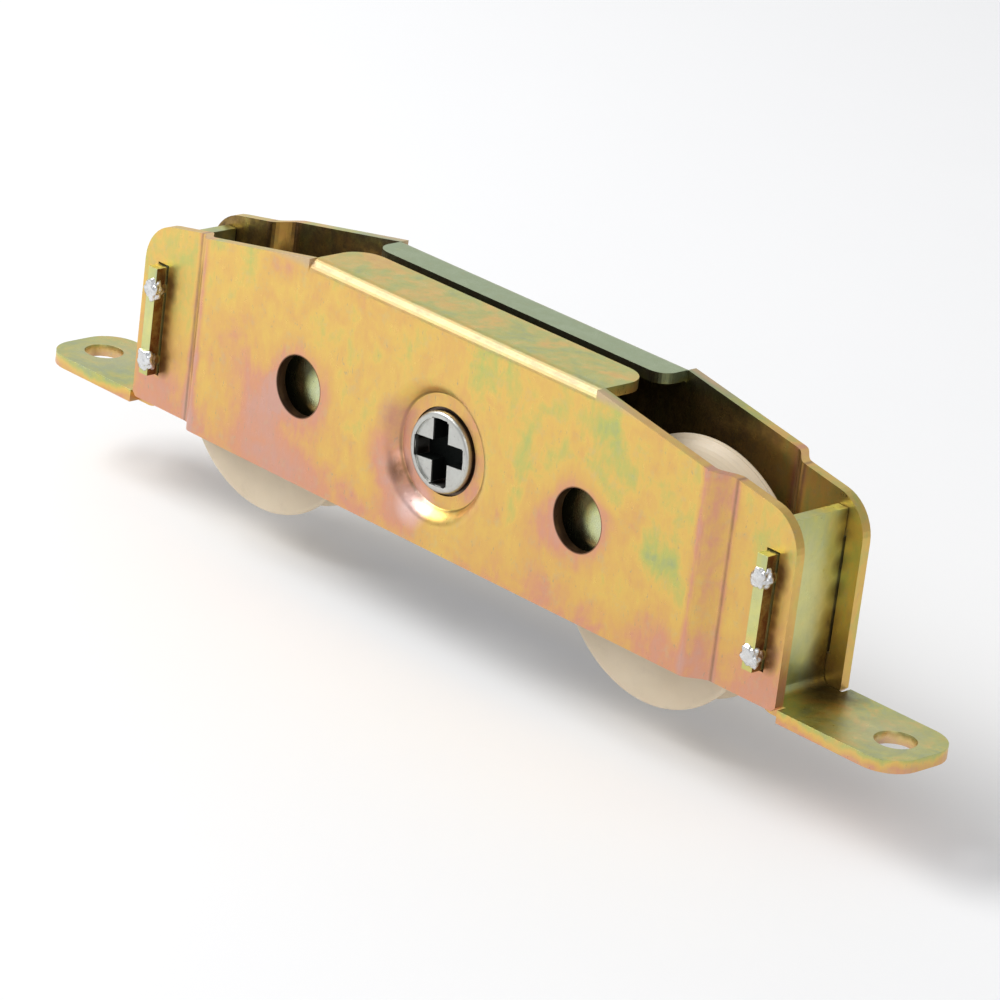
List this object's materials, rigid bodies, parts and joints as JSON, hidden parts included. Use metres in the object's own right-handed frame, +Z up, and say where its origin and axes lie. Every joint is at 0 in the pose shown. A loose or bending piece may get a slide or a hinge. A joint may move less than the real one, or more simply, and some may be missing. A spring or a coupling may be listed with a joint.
{
  "type": "sliding door roller",
  "caption": "Twin-wheel roller for a sliding door: plated steel housing with screw ears, rocking wheel carriage and a screwdriver-turned height-adjusting cam.",
  "frame": {"origin": "on the wheels' contact line with the track, midway between the wheels and between the side plates", "axes": "+X along the roller, +Y from the screw-head side to the back, +Z up"},
  "size_m": [0.132, 0.0146, 0.0325],
  "materials": {
    "plate_zinc": "yellow zinc plating",
    "bracket_zinc": "yellow zinc plating, greener",
    "carriage_zinc": "yellow zinc plating, inside",
    "cam_steel": "bright zinc",
    "axle_steel": "turned steel",
    "washer_steel": "rolled steel",
    "race_steel": "ground",
    "ball_steel": "polished",
    "shield_steel": "pressed",
    "cage_brass": "pressed",
    "wheel_nylon": "moulded, natural",
    "bush_acetal": "moulded"
  },
  "bodies": {
    "housing": {"front_side_plate": "plate_zinc", "back_side_plate": "plate_zinc", "left_end_bracket": "bracket_zinc", "right_end_bracket": "bracket_zinc"},
    "cam": {"adjusting_cam": "cam_steel", "front_cam_washer": "washer_steel", "back_cam_washer": "washer_steel"},
    "bush": {"pivot_bush": "bush_acetal"},
    "carriage": {"wheel_carriage": "carriage_zinc", "left_axle": "axle_steel", "right_axle": "axle_steel", "left_inner_race": "race_steel", "right_inner_race": "race_steel", "left_front_spacer": "washer_steel", "left_back_spacer": "washer_steel", "right_front_spacer": "washer_steel", "right_back_spacer": "washer_steel"},
    "left_roller": {"left_wheel": "wheel_nylon", "left_outer_race": "race_steel", "left_front_shield": "shield_steel", "left_back_shield": "shield_steel"},
    "right_roller": {"right_wheel": "wheel_nylon", "right_outer_race": "race_steel", "right_front_shield": "shield_steel", "right_back_shield": "shield_steel"},
    "left_ball_set": {"left_bearing_balls": "ball_steel", "left_ball_cage": "cage_brass"},
    "right_ball_set": {"right_bearing_balls": "ball_steel", "right_ball_cage": "cage_brass"}
  },
  "joints": [
    {"name": "cam_turn", "type": "hinge", "parent": "housing", "child": "cam", "pos_m": [0, 0, 0.01775], "axis": [0, 1, 0], "continuous": true},
    {"name": "bush_turn", "type": "hinge", "parent": "cam", "child": "bush", "pos_m": [0, 0, 0.019], "axis": [0, 1, 0], "continuous": true},
    {"name": "carriage_rock", "type": "hinge", "parent": "bush", "child": "carriage", "pos_m": [0, 0, 0.019], "axis": [0, 1, 0], "range_deg": [-3, 3]},
    {"name": "left_wheel_spin", "type": "hinge", "parent": "carriage", "child": "left_roller", "pos_m": [-0.03, 0, 0.014], "axis": [0, 1, 0], "continuous": true},
    {"name": "left_balls_spin", "type": "hinge", "parent": "carriage", "child": "left_ball_set", "pos_m": [-0.03, 0, 0.014], "axis": [0, 1, 0], "continuous": true},
    {"name": "right_wheel_spin", "type": "hinge", "parent": "carriage", "child": "right_roller", "pos_m": [0.03, 0, 0.014], "axis": [0, 1, 0], "continuous": true},
    {"name": "right_balls_spin", "type": "hinge", "parent": "carriage", "child": "right_ball_set", "pos_m": [0.03, 0, 0.014], "axis": [0, 1, 0], "continuous": true}
  ],
  "couplings": [
    {"joint": "bush_turn", "follows": "cam_turn", "ratio": -1},
    {"joint": "left_balls_spin", "follows": "left_wheel_spin", "ratio": 0.62},
    {"joint": "right_balls_spin", "follows": "right_wheel_spin", "ratio": 0.62}
  ]
}
